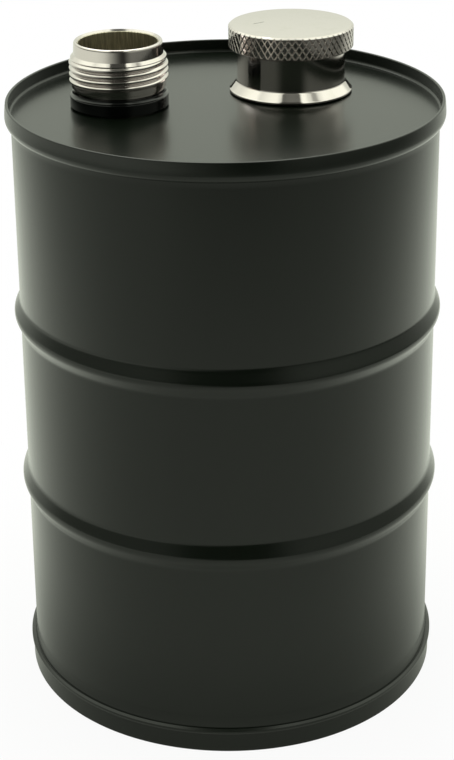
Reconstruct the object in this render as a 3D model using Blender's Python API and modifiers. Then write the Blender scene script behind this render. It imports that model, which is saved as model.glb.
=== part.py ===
"""A water flask shaped like a small oil drum, with its screw cap taken off and stood on the deck.

The drum is a tube of sheet steel with two rolled hoops, closed by two drawn pans whose rims are the
chimes. A threaded steel neck rises from a collar at the left of the deck. The cap is a threaded skirt
under a knurled knob, with a silicone seal inside. Sizes are in metres, +Z is up, and the origin is on
the drum's axis at its foot.
"""
import math

import bmesh
import bpy

# The drum as a whole. Both chimes stand out from its wall.
DRUM_HEIGHT = 0.1308
BODY_RADIUS = 0.0446
BODY_SHEET = 0.0006
HEAD_SHEET = 0.00065
SEAM_GAP = 0.0003

# Rolled hoops: a sharp crease above, a straight slope, a rounded crest and a soft fade below.
# Each share is (part of the hoop's reach above or below its crest, part of its rise).
HOOP_CREST_HEIGHTS = (0.0847, 0.0459)
HOOP_RISE = 0.0014
HOOP_ABOVE = 0.0033
HOOP_BELOW = 0.0030
HOOP_UPPER_SHARES = ((1.00, 0.00), (0.26, 0.82), (0.00, 1.00))
HOOP_LOWER_SHARES = ((0.17, 0.94), (0.38, 0.70), (0.70, 0.20), (1.00, 0.00))

# Top head: a pan whose upturned rim is the chime and whose floor is the deck
CHIME_REACH = 0.0014
DECK_RECESS = 0.0030
RIM_THICKNESS = 0.00065
RIM_TAPER = 0.0002
RIM_EDGE_ROUND = 0.00015
DECK_FILLET = 0.0005
TOP_HEM_DROP = 0.00065
TOP_CORNER_HEIGHT = 0.0019

# Bottom head: the same kind of pan turned over, with a lip above its wall.
# Each share is (part of the way out from the ledge to the lip, part of the way down to the undercut).
FOOT_REACH = 0.0010
FOOT_WALL = 0.00065
FOOT_EDGE_ROUND = 0.0001
BASE_RECESS = 0.0035
BASE_FILLET = 0.0005
LEDGE_RISE = 0.00175
LEDGE_DROP = 0.0018
LIP_REACH = 0.00035
UNDERCUT_DEPTH = 0.0001
UNDERCUT_FADE = 0.0003
LEDGE_SHARES = ((0.30, 0.06), (0.80, 0.38), (1.00, 0.60), (1.00, 0.76), (0.82, 0.92))

# Screw thread, the same pitch on the neck and inside the cap, right-handed
THREAD_RADIUS = 0.0104
THREAD_DEPTH = 0.00075
THREAD_PITCH = 0.0013
THREAD_TURNS = 4
THREAD_BASE_SHARE = 0.445
THREAD_CREST_SHARE = 0.12
THREAD_BURY = 0.0002
THREAD_FADE_TURNS = 0.15

# Neck: polished spout. From its foot up it has a spigot, an undercut, the thread, a chamfered land
# and a pilot band; the steps are measured inwards from the thread's crest or root.
NECK_INSET = 0.0235
SPIGOT_STEP = 0.00065
SPIGOT_WALL = 0.0007
SPIGOT_STUB = 0.0010
NECK_UNDERCUT_STEP = 0.00015
NECK_UNDERCUT_LENGTH = 0.0004
THREAD_RUN_OUT = 0.0002
NECK_THREAD_LEAD = 0.0007
NECK_THREAD_START_ANGLE = math.radians(10)
LAND_STEP = 0.00035
LAND_SLOPE = 0.0003
LAND_LENGTH = 0.00015
PILOT_STEP = 0.00027
PILOT_SLOPE = 0.00065
PILOT_LENGTH = 0.0027
PILOT_EDGE_ROUND = 0.00013
MOUTH_CHAMFER_WIDTH = 0.00055
MOUTH_CHAMFER_DEPTH = 0.0005

# Neck collar: the black ring the neck rises from, with a hollow slope round its top.
# Each share is (part of the way out to the wall, part of the way down to the edge).
COLLAR_WALL = 0.00108
COLLAR_TOP_WALL = 0.00032
COLLAR_HEIGHT = 0.0035
COLLAR_SLOPE_DROP = 0.00083
COLLAR_SLOPE_SHARES = ((0.00, 0.00), (0.12, 0.42), (0.45, 0.80), (1.00, 1.00))

# Cap skirt: the polished tube with a flared foot, standing on the deck beside the neck.
# Each share is (part of the flare's reach, part of its rise above the lip).
CAP_STAND_X = 0.0119
CAP_STAND_Y = 0.01555
CAP_THREAD_CLEARANCE = 0.0003
CAP_THREAD_DEPTH = 0.0007
CAP_THREAD_START_HEIGHT = 0.0024
CAP_THREAD_START_ANGLE = math.radians(-60)
SKIRT_WALL = 0.00088
SKIRT_HEIGHT = 0.0120
SKIRT_ENTRY_CHAMFER = 0.0005
FLARE_REACH = 0.00156
FLARE_RISE = 0.0020
FLARE_LIP = 0.0004
FLARE_EDGE_ROUND = 0.0001
FLARE_SHARES = ((0.00, 1.00), (0.10, 0.80), (0.88, 0.09), (1.00, 0.00))

# Cap knob: the knurled disc, hollow underneath to sit over the skirt.
# Each dome share is (part of the face's radius, part of the dome's rise).
KNOB_OVERHANG = 0.00179
KNOB_TOP_THICKNESS = 0.00205
KNOB_DOME_RISE = 0.00025
KNOB_DOME_SHARES = ((1.00, 0.00), (0.55, 0.70))
KNOB_BEVEL_WIDTH = 0.00042
KNOB_BEVEL_DROP = 0.00035
KNURL_WIDTH = 0.0043
KNURL_COUNT = 57
KNURL_ROWS = 4
KNURL_DEPTH = 0.00028
KNURL_FLAT_SHARE = 0.70
KNOB_UNDER_EDGE = 0.0001
KNOB_UNDER_BEVEL_WIDTH = 0.00032
KNOB_UNDER_BEVEL_DROP = 0.0005

# Cap seal: the silicone disc that closes on the neck's rim
SEAL_THICKNESS = 0.0010
SEAL_EDGE_ROUND = 0.00015

# How finely round shapes are cut, and how they are shaded
DRUM_STEPS = 52
SMALL_STEPS = 36
THREAD_STEPS = 24
CORNER_STEPS = 4
FILLET_STEPS = 2
MERGE_DISTANCE = 0.00001
SHARP_ANGLE = math.radians(30)

# Colours (linear), metallic and roughness
PAINT = ((0.016, 0.017, 0.015), 0.0, 0.35)
STEEL = ((0.62, 0.61, 0.58), 1.0, 0.16)
SILICONE = ((0.72, 0.72, 0.69), 0.0, 0.55)

# Drum heights and radii that follow from the sizes above
DECK_HEIGHT = DRUM_HEIGHT - DECK_RECESS
DECK_UNDERSIDE = DECK_HEIGHT - HEAD_SHEET
FLOOR_TOP = BASE_RECESS + HEAD_SHEET
LEDGE_HEIGHT = FLOOR_TOP + LEDGE_RISE
UNDERCUT_HEIGHT = LEDGE_HEIGHT - LEDGE_DROP
SLEEVE_RADIUS = BODY_RADIUS + SEAM_GAP
CHIME_RADIUS = BODY_RADIUS + CHIME_REACH
FOOT_RADIUS = BODY_RADIUS + FOOT_REACH
LIP_RADIUS = FOOT_RADIUS + LIP_REACH

# Neck radii, and its heights above the deck
THREAD_ROOT_RADIUS = THREAD_RADIUS - THREAD_DEPTH
SPIGOT_RADIUS = THREAD_ROOT_RADIUS - SPIGOT_STEP
NECK_BORE_RADIUS = SPIGOT_RADIUS - SPIGOT_WALL
NECK_UNDERCUT_RADIUS = THREAD_ROOT_RADIUS - NECK_UNDERCUT_STEP
LAND_RADIUS = THREAD_RADIUS - LAND_STEP
PILOT_RADIUS = THREAD_ROOT_RADIUS - PILOT_STEP
MOUTH_RADIUS = NECK_BORE_RADIUS + MOUTH_CHAMFER_WIDTH
NECK_HOLE_RADIUS = SPIGOT_RADIUS + SEAM_GAP
NECK_SHOULDER_HEIGHT = COLLAR_HEIGHT + SEAM_GAP
UNDERCUT_TOP_HEIGHT = NECK_SHOULDER_HEIGHT + NECK_UNDERCUT_LENGTH
ROOT_FOOT_HEIGHT = UNDERCUT_TOP_HEIGHT + THREAD_RUN_OUT
NECK_THREAD_START_HEIGHT = ROOT_FOOT_HEIGHT + NECK_THREAD_LEAD
ROOT_TOP_HEIGHT = NECK_THREAD_START_HEIGHT + THREAD_PITCH * THREAD_TURNS
LAND_FOOT_HEIGHT = ROOT_TOP_HEIGHT + LAND_SLOPE
LAND_TOP_HEIGHT = LAND_FOOT_HEIGHT + LAND_LENGTH
PILOT_FOOT_HEIGHT = LAND_TOP_HEIGHT + PILOT_SLOPE
NECK_HEIGHT = PILOT_FOOT_HEIGHT + PILOT_LENGTH

# Cap radii, and its heights above its own foot
SKIRT_BORE_RADIUS = THREAD_RADIUS + CAP_THREAD_CLEARANCE
SKIRT_RADIUS = SKIRT_BORE_RADIUS + SKIRT_WALL
KNOB_BORE_RADIUS = SKIRT_RADIUS + SEAM_GAP
KNOB_RADIUS = SKIRT_RADIUS + KNOB_OVERHANG
KNOB_FACE_RADIUS = KNOB_RADIUS - KNOB_BEVEL_WIDTH
KNOB_UNDER_RADIUS = KNOB_RADIUS - KNOB_UNDER_BEVEL_WIDTH
KNOB_CEILING = SKIRT_HEIGHT + SEAM_GAP
KNOB_HEIGHT = KNOB_CEILING + KNOB_TOP_THICKNESS
KNURL_TOP_HEIGHT = KNOB_HEIGHT - KNOB_BEVEL_DROP
KNURL_FOOT_HEIGHT = KNURL_TOP_HEIGHT - KNURL_WIDTH
KNOB_UNDER_HEIGHT = KNURL_FOOT_HEIGHT - KNOB_UNDER_EDGE
KNOB_MOUTH_HEIGHT = KNOB_UNDER_HEIGHT - KNOB_UNDER_BEVEL_DROP

# Where the neck and the loose cap stand
NECK_PLACE = (NECK_INSET - CHIME_RADIUS, 0, DECK_HEIGHT)
CAP_PLACE = (CAP_STAND_X, CAP_STAND_Y, DECK_HEIGHT + SEAM_GAP)


def clear_scene():
    """Remove every object that the scene holds."""
    for old in list(bpy.data.objects):
        bpy.data.objects.remove(old, do_unlink=True)


def new_collection(name):
    """Make a collection in the scene."""
    collection = bpy.data.collections.new(name)
    bpy.context.scene.collection.children.link(collection)
    return collection


def principled(name, look):
    """Make a Principled material from a colour, a metallic value and a roughness."""
    color, metallic, roughness = look
    material = bpy.data.materials.new(name)
    material.use_nodes = True
    shader = material.node_tree.nodes["Principled BSDF"]
    shader.inputs["Base Color"].default_value = (*color, 1.0)
    shader.inputs["Metallic"].default_value = metallic
    shader.inputs["Roughness"].default_value = roughness
    material.diffuse_color = (*color, 1.0)
    return material


def add_object(name, mesh, collection, location=(0, 0, 0), look=None):
    """Put a mesh into a collection as a named object with its own material."""
    if look:
        mesh.materials.append(principled(name, look))
    obj = bpy.data.objects.new(name, mesh)
    obj.location = location
    collection.objects.link(obj)
    return obj


def arc(centre, radii, start_degrees, end_degrees, steps):
    """Points along an elliptical arc, as (radius, height) pairs, both ends included."""
    points = []
    for step in range(steps + 1):
        angle = math.radians(start_degrees + (end_degrees - start_degrees) * step / steps)
        points.append((centre[0] + radii[0] * math.cos(angle), centre[1] + radii[1] * math.sin(angle)))
    return points


def turned(name, profile, steps, closed, collection, location=(0, 0, 0), look=None):
    """Turn (radius, height) points, which run down the outer side, about the object's own axis."""
    count = len(profile)
    edges = [(index, index + 1) for index in range(count - 1)]
    if closed:
        edges.append((count - 1, 0))
    mesh = bpy.data.meshes.new(name)
    mesh.from_pydata([(radius, 0, height) for radius, height in profile], edges, [])
    obj = add_object(name, mesh, collection, location, look)
    screw = obj.modifiers.new("Turn", "SCREW")
    screw.angle = math.tau
    screw.steps = steps
    screw.render_steps = steps
    screw.use_merge_vertices = True
    screw.merge_threshold = MERGE_DISTANCE
    return obj


def combine(obj, other, operation):
    """Join another solid to an object, or cut it away, with a Boolean modifier."""
    other.hide_render = True
    other.display_type = "WIRE"
    boolean = obj.modifiers.new(operation.title(), "BOOLEAN")
    boolean.operation = operation
    boolean.solver = "EXACT"
    boolean.object = other


def finish(obj):
    """Apply the modifiers, then shade smooth with the true edges kept sharp."""
    depsgraph = bpy.context.evaluated_depsgraph_get()
    mesh = bpy.data.meshes.new_from_object(obj.evaluated_get(depsgraph))
    obj.modifiers.clear()
    obj.data = mesh
    mesh.shade_smooth()
    mesh.set_sharp_from_angle(angle=SHARP_ANGLE)


def build_shell(collection):
    """The drum's wall: one thickened surface that runs down over both hoops."""
    profile = [(BODY_RADIUS, DECK_UNDERSIDE - SEAM_GAP)]
    for crest in HOOP_CREST_HEIGHTS:
        for reach, rise in HOOP_UPPER_SHARES:
            profile.append((BODY_RADIUS + HOOP_RISE * rise, crest + HOOP_ABOVE * reach))
        for reach, rise in HOOP_LOWER_SHARES:
            profile.append((BODY_RADIUS + HOOP_RISE * rise, crest - HOOP_BELOW * reach))
    profile.append((BODY_RADIUS, FLOOR_TOP + SEAM_GAP))
    shell = turned("shell", profile, DRUM_STEPS, False, collection, look=PAINT)
    solidify = shell.modifiers.new("Sheet", "SOLIDIFY")
    solidify.thickness = BODY_SHEET
    solidify.offset = -1
    solidify.use_even_offset = True
    return shell


def build_top_head(collection, cutters):
    """The deck with its upturned rim and, under the rim, a hem that hides the shell's edge."""
    rim_inside = CHIME_RADIUS - RIM_THICKNESS
    rim_top_inside = rim_inside - RIM_TAPER
    rim_top_outside = CHIME_RADIUS - RIM_TAPER
    hem_foot = DECK_UNDERSIDE - TOP_HEM_DROP
    corner = (CHIME_RADIUS - SLEEVE_RADIUS, TOP_CORNER_HEIGHT)
    profile = [(0, DECK_HEIGHT)]
    profile += arc((rim_inside - DECK_FILLET, DECK_HEIGHT + DECK_FILLET),
                   (DECK_FILLET, DECK_FILLET), -90, 0, FILLET_STEPS)
    profile += [
        (rim_top_inside, DRUM_HEIGHT - RIM_EDGE_ROUND),
        (rim_top_inside + RIM_EDGE_ROUND, DRUM_HEIGHT),
        (rim_top_outside - RIM_EDGE_ROUND, DRUM_HEIGHT),
        (rim_top_outside, DRUM_HEIGHT - RIM_EDGE_ROUND),
    ]
    profile += arc((SLEEVE_RADIUS, hem_foot + TOP_CORNER_HEIGHT), corner, 0, -90, CORNER_STEPS)
    profile += [(SLEEVE_RADIUS, DECK_UNDERSIDE), (0, DECK_UNDERSIDE)]
    head = turned("top_head", profile, DRUM_STEPS, False, collection, look=PAINT)
    combine(head, round_cutter("neck_hole", cutters), "DIFFERENCE")
    return head


def round_cutter(name, cutters):
    """The cylinder that cuts the neck's hole through the deck."""
    cutter = bmesh.new()
    bmesh.ops.create_cone(cutter, cap_ends=True, segments=SMALL_STEPS, radius1=NECK_HOLE_RADIUS,
                          radius2=NECK_HOLE_RADIUS, depth=DECK_RECESS)
    mesh = bpy.data.meshes.new(name)
    cutter.to_mesh(mesh)
    cutter.free()
    return add_object(name, mesh, cutters, NECK_PLACE)


def build_bottom_head(collection):
    """The base pan: recessed floor, foot chime, and the lip and ledge round the shell's lower end."""
    wall_inside = FOOT_RADIUS - FOOT_WALL
    undercut_radius = FOOT_RADIUS - UNDERCUT_DEPTH
    profile = [(0, FLOOR_TOP), (SLEEVE_RADIUS, FLOOR_TOP), (SLEEVE_RADIUS, LEDGE_HEIGHT)]
    for out, down in LEDGE_SHARES:
        profile.append((SLEEVE_RADIUS + (LIP_RADIUS - SLEEVE_RADIUS) * out,
                        LEDGE_HEIGHT - (LEDGE_HEIGHT - UNDERCUT_HEIGHT) * down))
    profile += [
        (undercut_radius, UNDERCUT_HEIGHT),
        (FOOT_RADIUS, UNDERCUT_HEIGHT - UNDERCUT_FADE),
        (FOOT_RADIUS, FOOT_EDGE_ROUND),
        (FOOT_RADIUS - FOOT_EDGE_ROUND, 0),
        (wall_inside, 0),
    ]
    profile += arc((wall_inside - BASE_FILLET, BASE_RECESS - BASE_FILLET),
                   (BASE_FILLET, BASE_FILLET), 0, 90, FILLET_STEPS)
    profile.append((0, BASE_RECESS))
    return turned("bottom_head", profile, DRUM_STEPS, False, collection, look=PAINT)


def build_neck_collar(collection):
    """The black ring that stands on the deck round the neck."""
    profile = [(NECK_HOLE_RADIUS, COLLAR_HEIGHT)]
    for out, down in COLLAR_SLOPE_SHARES:
        wall = COLLAR_TOP_WALL + (COLLAR_WALL - COLLAR_TOP_WALL) * out
        profile.append((NECK_HOLE_RADIUS + wall, COLLAR_HEIGHT - COLLAR_SLOPE_DROP * down))
    profile += [(NECK_HOLE_RADIUS + COLLAR_WALL, SEAM_GAP), (NECK_HOLE_RADIUS, SEAM_GAP)]
    return turned("neck_collar", profile, SMALL_STEPS, True, collection, NECK_PLACE, PAINT)


def helical_ridge(name, wall_radius, crest_radius, start_height, start_angle, collection, carrier):
    """One thread ridge, rooted a little inside its carrier's wall and fading out at both ends."""
    side = math.copysign(1, crest_radius - wall_radius)
    root_radius = wall_radius - side * THREAD_BURY
    hidden_radius = wall_radius - side * THREAD_BURY / 2
    crest_half = THREAD_PITCH * THREAD_CREST_SHARE
    slope = THREAD_PITCH * (THREAD_BASE_SHARE - THREAD_CREST_SHARE) / abs(crest_radius - wall_radius)
    count = THREAD_TURNS * THREAD_STEPS
    ridge = bmesh.new()
    sections = []
    for step in range(count + 1):
        turn = step / THREAD_STEPS
        strength = min(1, turn / THREAD_FADE_TURNS, (THREAD_TURNS - turn) / THREAD_FADE_TURNS)
        crest = hidden_radius + (crest_radius - hidden_radius) * strength
        root_half = crest_half + slope * abs(crest - root_radius)
        angle = start_angle + math.tau * turn
        height = start_height + THREAD_PITCH * turn
        corners = ((root_radius, -root_half), (crest, -crest_half), (crest, crest_half), (root_radius, root_half))
        sections.append([
            ridge.verts.new((radius * math.cos(angle), radius * math.sin(angle), height + offset))
            for radius, offset in corners
        ])
    for before, after in zip(sections, sections[1:]):
        for corner in range(len(before)):
            following = (corner + 1) % len(before)
            ridge.faces.new((before[corner], before[following], after[following], after[corner]))
    ridge.faces.new(sections[0])
    ridge.faces.new(sections[-1])
    bmesh.ops.triangulate(ridge, faces=ridge.faces)
    bmesh.ops.recalc_face_normals(ridge, faces=ridge.faces)
    mesh = bpy.data.meshes.new(name)
    ridge.to_mesh(mesh)
    ridge.free()
    obj = add_object(name, mesh, collection)
    obj.parent = carrier
    return obj


def build_neck(collection, cutters):
    """The spout: its heights are above the deck, and its spigot goes down through collar and deck."""
    profile = [
        (MOUTH_RADIUS, NECK_HEIGHT),
        (PILOT_RADIUS - PILOT_EDGE_ROUND, NECK_HEIGHT),
        (PILOT_RADIUS, NECK_HEIGHT - PILOT_EDGE_ROUND),
        (PILOT_RADIUS, PILOT_FOOT_HEIGHT),
        (LAND_RADIUS, LAND_TOP_HEIGHT),
        (LAND_RADIUS, LAND_FOOT_HEIGHT),
        (THREAD_ROOT_RADIUS, ROOT_TOP_HEIGHT),
        (THREAD_ROOT_RADIUS, ROOT_FOOT_HEIGHT),
        (NECK_UNDERCUT_RADIUS, UNDERCUT_TOP_HEIGHT),
        (NECK_UNDERCUT_RADIUS, NECK_SHOULDER_HEIGHT),
        (SPIGOT_RADIUS, NECK_SHOULDER_HEIGHT),
        (SPIGOT_RADIUS, -HEAD_SHEET - SPIGOT_STUB),
        (NECK_BORE_RADIUS, -HEAD_SHEET - SPIGOT_STUB),
        (NECK_BORE_RADIUS, NECK_HEIGHT - MOUTH_CHAMFER_DEPTH),
    ]
    neck = turned("neck", profile, SMALL_STEPS, True, collection, NECK_PLACE, STEEL)
    ridge = helical_ridge("neck_thread", THREAD_ROOT_RADIUS, THREAD_RADIUS,
                          NECK_THREAD_START_HEIGHT, NECK_THREAD_START_ANGLE, cutters, neck)
    combine(neck, ridge, "UNION")
    return neck


def build_cap_skirt(collection, cutters):
    """The cap's tube: heights are above its own foot."""
    profile = [(SKIRT_BORE_RADIUS, SKIRT_HEIGHT), (SKIRT_RADIUS, SKIRT_HEIGHT)]
    for out, up in FLARE_SHARES:
        profile.append((SKIRT_RADIUS + FLARE_REACH * out, FLARE_LIP + FLARE_RISE * up))
    flare_radius = SKIRT_RADIUS + FLARE_REACH
    profile += [
        (flare_radius, FLARE_EDGE_ROUND),
        (flare_radius - FLARE_EDGE_ROUND, 0),
        (SKIRT_BORE_RADIUS + SKIRT_ENTRY_CHAMFER, 0),
        (SKIRT_BORE_RADIUS, SKIRT_ENTRY_CHAMFER),
    ]
    skirt = turned("cap_skirt", profile, SMALL_STEPS, True, collection, look=STEEL)
    ridge = helical_ridge("cap_thread", SKIRT_BORE_RADIUS, SKIRT_BORE_RADIUS - CAP_THREAD_DEPTH,
                          CAP_THREAD_START_HEIGHT, CAP_THREAD_START_ANGLE, cutters, skirt)
    combine(skirt, ridge, "UNION")
    return skirt


def build_cap_seal(collection):
    """The silicone disc at the top of the skirt's bore."""
    radius = SKIRT_BORE_RADIUS - SEAM_GAP
    foot = SKIRT_HEIGHT - SEAL_THICKNESS
    profile = [
        (0, SKIRT_HEIGHT),
        (radius - SEAL_EDGE_ROUND, SKIRT_HEIGHT),
        (radius, SKIRT_HEIGHT - SEAL_EDGE_ROUND),
        (radius, foot + SEAL_EDGE_ROUND),
        (radius - SEAL_EDGE_ROUND, foot),
        (0, foot),
    ]
    return turned("cap_seal", profile, SMALL_STEPS, False, collection, look=SILICONE)


def ring_of_points(knob, radius, height, first_angle):
    """One level ring of vertices, one for each knurl diamond."""
    ring = []
    for index in range(KNURL_COUNT):
        angle = first_angle + math.tau * index / KNURL_COUNT
        ring.append(knob.verts.new((radius * math.cos(angle), radius * math.sin(angle), height)))
    return ring


def join_rings(knob, lower, upper):
    """A band of four-sided faces between two rings."""
    for index in range(KNURL_COUNT):
        following = (index + 1) % KNURL_COUNT
        knob.faces.new((lower[index], lower[following], upper[following], upper[index]))


def knurl_band(knob):
    """Rows of raised diamonds between crossing grooves; returns the outlines of its foot and top."""
    half_angle = math.pi / KNURL_COUNT
    row_height = (KNURL_TOP_HEIGHT - KNURL_FOOT_HEIGHT) / KNURL_ROWS
    groove_radius = KNOB_RADIUS - KNURL_DEPTH
    crossings = []
    for row in range(KNURL_ROWS + 1):
        first_angle = half_angle * (1 + row % 2)
        crossings.append(ring_of_points(knob, groove_radius, KNURL_FOOT_HEIGHT + row_height * row, first_angle))
    outlines = {}
    for row in range(KNURL_ROWS + 1):
        middle = KNURL_FOOT_HEIGHT + row_height * row
        first_angle = half_angle * (row % 2)
        spread = half_angle * KNURL_FLAT_SHARE
        lefts = ring_of_points(knob, KNOB_RADIUS, middle, first_angle - spread)
        rights = ring_of_points(knob, KNOB_RADIUS, middle, first_angle + spread)
        tips = {}
        for side in (-1, 1):
            if 0 <= row + side <= KNURL_ROWS:
                tip_height = middle + side * row_height * KNURL_FLAT_SHARE
                tips[side] = ring_of_points(knob, KNOB_RADIUS, tip_height, first_angle)
        for index in range(KNURL_COUNT):
            groove_left = crossings[row][index - 1]
            groove_right = crossings[row][index]
            left, right = lefts[index], rights[index]
            for side, tip_ring in tips.items():
                tip = tip_ring[index]
                beyond = crossings[row + side][index - 1 + row % 2]
                knob.faces.new((groove_left, beyond, tip))
                knob.faces.new((groove_left, tip, left))
                knob.faces.new((groove_right, tip, beyond))
                knob.faces.new((groove_right, right, tip))
                knob.faces.new((left, tip, right))
            if len(tips) == 1:
                outlines.setdefault(row, []).append((left, right, groove_right))
    return outlines[0], outlines[KNURL_ROWS]


def join_outline(knob, outline, ring):
    """Faces between the knurl's toothed outline and a plain ring."""
    for index in range(KNURL_COUNT):
        following = (index + 1) % KNURL_COUNT
        left, right, groove = outline[index]
        next_left = outline[following][0]
        knob.faces.new((left, right, ring[index]))
        knob.faces.new((right, groove, ring[index]))
        knob.faces.new((groove, ring[following], ring[index]))
        knob.faces.new((groove, next_left, ring[following]))


def build_cap_knob(collection):
    """The knob: hollow underside, knurled edge, bevel and slightly domed face."""
    knob = bmesh.new()
    ceiling = ring_of_points(knob, KNOB_BORE_RADIUS, KNOB_CEILING, 0)
    mouth = ring_of_points(knob, KNOB_BORE_RADIUS, KNOB_MOUTH_HEIGHT, 0)
    under = ring_of_points(knob, KNOB_UNDER_RADIUS, KNOB_UNDER_HEIGHT, 0)
    knob.faces.new(ceiling)
    join_rings(knob, ceiling, mouth)
    join_rings(knob, mouth, under)
    foot_outline, top_outline = knurl_band(knob)
    join_outline(knob, foot_outline, under)
    dome = [
        ring_of_points(knob, KNOB_FACE_RADIUS * out, KNOB_HEIGHT + KNOB_DOME_RISE * rise, 0)
        for out, rise in KNOB_DOME_SHARES
    ]
    join_outline(knob, top_outline, dome[0])
    for outer, inner in zip(dome, dome[1:]):
        join_rings(knob, outer, inner)
    knob.faces.new(dome[-1])
    bmesh.ops.recalc_face_normals(knob, faces=knob.faces)
    mesh = bpy.data.meshes.new("cap_knob")
    knob.to_mesh(mesh)
    knob.free()
    return add_object("cap_knob", mesh, collection, look=STEEL)


def add_empty(name, collection, location, parent=None):
    """An empty that marks a joint's axis."""
    empty = bpy.data.objects.new(name, None)
    empty.empty_display_size = KNOB_RADIUS
    empty.location = location
    empty.parent = parent
    collection.objects.link(empty)
    return empty


def build():
    """Build every piece in its place."""
    clear_scene()
    flask = new_collection("drum_water_flask")
    cutters = new_collection("cutters")
    pieces = [
        build_shell(flask),
        build_top_head(flask, cutters),
        build_bottom_head(flask),
        build_neck_collar(flask),
        build_neck(flask, cutters),
    ]
    cap_lift = add_empty("cap_lift", flask, CAP_PLACE)
    cap_turn = add_empty("cap_turn", flask, (0, 0, 0), cap_lift)
    seal = build_cap_seal(flask)
    skirt = build_cap_skirt(flask, cutters)
    knob = build_cap_knob(flask)
    seal.parent = cap_lift
    skirt.parent = cap_turn
    knob.parent = cap_turn
    bpy.context.view_layer.update()
    for piece in pieces + [seal, skirt, knob]:
        finish(piece)


build()
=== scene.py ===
# %% [markdown]
# # A drum-shaped water flask, dressed for its portrait
# The flask copies a steel oil drum: a wall with two rolled hoops, two pressed heads whose rims are the
# chimes, a threaded steel neck, and its knurled cap standing on the deck. The CAD model already holds
# these pieces with few facets. Here each one gets a fine skin of its own and a finish, on a pale floor
# under soft light. Sizes are in metres and +Z is up.

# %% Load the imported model
import math

import bmesh
import bpy
import numpy as np
from mathutils import Matrix


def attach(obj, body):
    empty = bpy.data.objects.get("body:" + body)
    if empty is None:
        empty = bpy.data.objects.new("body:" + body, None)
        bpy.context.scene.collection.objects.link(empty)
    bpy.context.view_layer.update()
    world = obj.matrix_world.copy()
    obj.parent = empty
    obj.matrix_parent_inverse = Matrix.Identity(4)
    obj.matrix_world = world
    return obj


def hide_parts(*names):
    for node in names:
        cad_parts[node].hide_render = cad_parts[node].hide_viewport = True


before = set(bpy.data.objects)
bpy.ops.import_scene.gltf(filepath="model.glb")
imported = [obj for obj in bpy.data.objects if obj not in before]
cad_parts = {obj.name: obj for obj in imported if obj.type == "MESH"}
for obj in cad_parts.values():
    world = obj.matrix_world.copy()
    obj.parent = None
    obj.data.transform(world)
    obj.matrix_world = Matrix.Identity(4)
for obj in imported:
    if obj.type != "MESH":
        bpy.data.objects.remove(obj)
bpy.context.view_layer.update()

# %% [markdown]
# ## The camera
# The view is set first, because every later look is judged through it. The lens is fairly long, stands
# about 42 cm from the drum's middle and looks down at it by about 25 degrees. From there it is tipped up
# by 3 degrees and rolled by half a degree, and the frame is shifted down over the drum again, so that the
# upright sides draw together towards the foot as gently as they should.

# %% Camera
PICTURE_HEIGHT = 760
FRONT_TURN = math.radians(8.94)
CAMERA_DISTANCE = 0.42441
CAMERA_ELEVATION = 0.4307
CAMERA_TILT = 0.0575
CAMERA_ROLL = 0.0108
CAMERA_AIM_HEIGHT = 0.065375
FOCAL_PIXELS = 1916.26
SIGHT_ROW = 269.41
SENSOR = 36.0


def turned_about(vector, axis, angle):
    """A vector turned about a unit axis: the part along the axis stays and the rest goes round."""
    along = axis * np.dot(axis, vector)
    return along + (vector - along) * math.cos(angle) + np.cross(axis, vector) * math.sin(angle)


def add_camera():
    """A camera on a circle round the drum, then tipped about its own side and its line of sight."""
    upright = np.array((0.0, 0.0, 1.0))
    side = turned_about(np.array((1.0, 0.0, 0.0)), upright, FRONT_TURN)
    level = turned_about(np.array((0.0, 1.0, 0.0)), upright, FRONT_TURN)
    sight = level * math.cos(CAMERA_ELEVATION) - upright * math.sin(CAMERA_ELEVATION)
    place = upright * CAMERA_AIM_HEIGHT - sight * CAMERA_DISTANCE
    sight = turned_about(sight, side, CAMERA_TILT)
    top = np.cross(side, sight)
    side, top = (turned_about(part, sight, CAMERA_ROLL) for part in (side, top))
    lens = bpy.data.cameras.new("portrait_lens")
    lens.sensor_fit = "VERTICAL"
    lens.sensor_height = SENSOR
    lens.lens = FOCAL_PIXELS * SENSOR / PICTURE_HEIGHT
    lens.shift_y = (SIGHT_ROW - PICTURE_HEIGHT / 2) / PICTURE_HEIGHT
    camera = bpy.data.objects.new("portrait_camera", lens)
    bpy.context.scene.collection.objects.link(camera)
    columns = np.stack((side, top, -sight, place), axis=1)
    camera.matrix_world = Matrix([*columns.tolist(), [0.0, 0.0, 0.0, 1.0]])
    return camera


bpy.context.scene.camera = add_camera()
print("camera lens, mm:", round(bpy.context.scene.camera.data.lens, 2))

# %% [markdown]
# ## Turned skins
# Nearly everything here is turned on a lathe or pressed round. A turned skin is a stack of rings: ring i
# has a radius, a height and a centre, and place j on it has an angle. Worked out as whole arrays, the
# same few lines give plain walls, threads and knurls, because a thread is only a radius that changes with
# the angle. The rings run down the outside, so that the faces look outwards.

# %% Rings and sheets
ROUND_COLUMNS = 288
SHARP_ANGLE = math.radians(30)
WELD_DISTANCE = 1e-7
RUN_MARGIN = 0.00006


def arc(centre, reach, start, end, steps):
    """Points (centre + reach * cosine, centre + reach * sine) for angles from start to end in degrees.

    The reach is one radius or, for an ellipse, two.
    """
    angles = np.radians(np.linspace(start, end, steps + 1))
    return np.array(centre) + np.array(reach) * np.stack((np.cos(angles), np.sin(angles)), axis=1)


def profile_of(*pieces):
    """Join points and arrays of points, each (radius, height), into one run."""
    return np.vstack([np.atleast_2d(np.asarray(piece, float)) for piece in pieces])


def run(start, end):
    """A straight run with a ring close to each end, so that only the ends shade into their neighbours."""
    start, end = np.array(start), np.array(end)
    margin = RUN_MARGIN * ((end - start) / np.hypot(*(end - start)))
    return np.stack((start, start + margin, end - margin, end))


def angles_of(columns, start=0.0):
    """Equal steps once round, from a start angle."""
    return start + np.linspace(0.0, math.tau, columns, endpoint=False)


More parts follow.
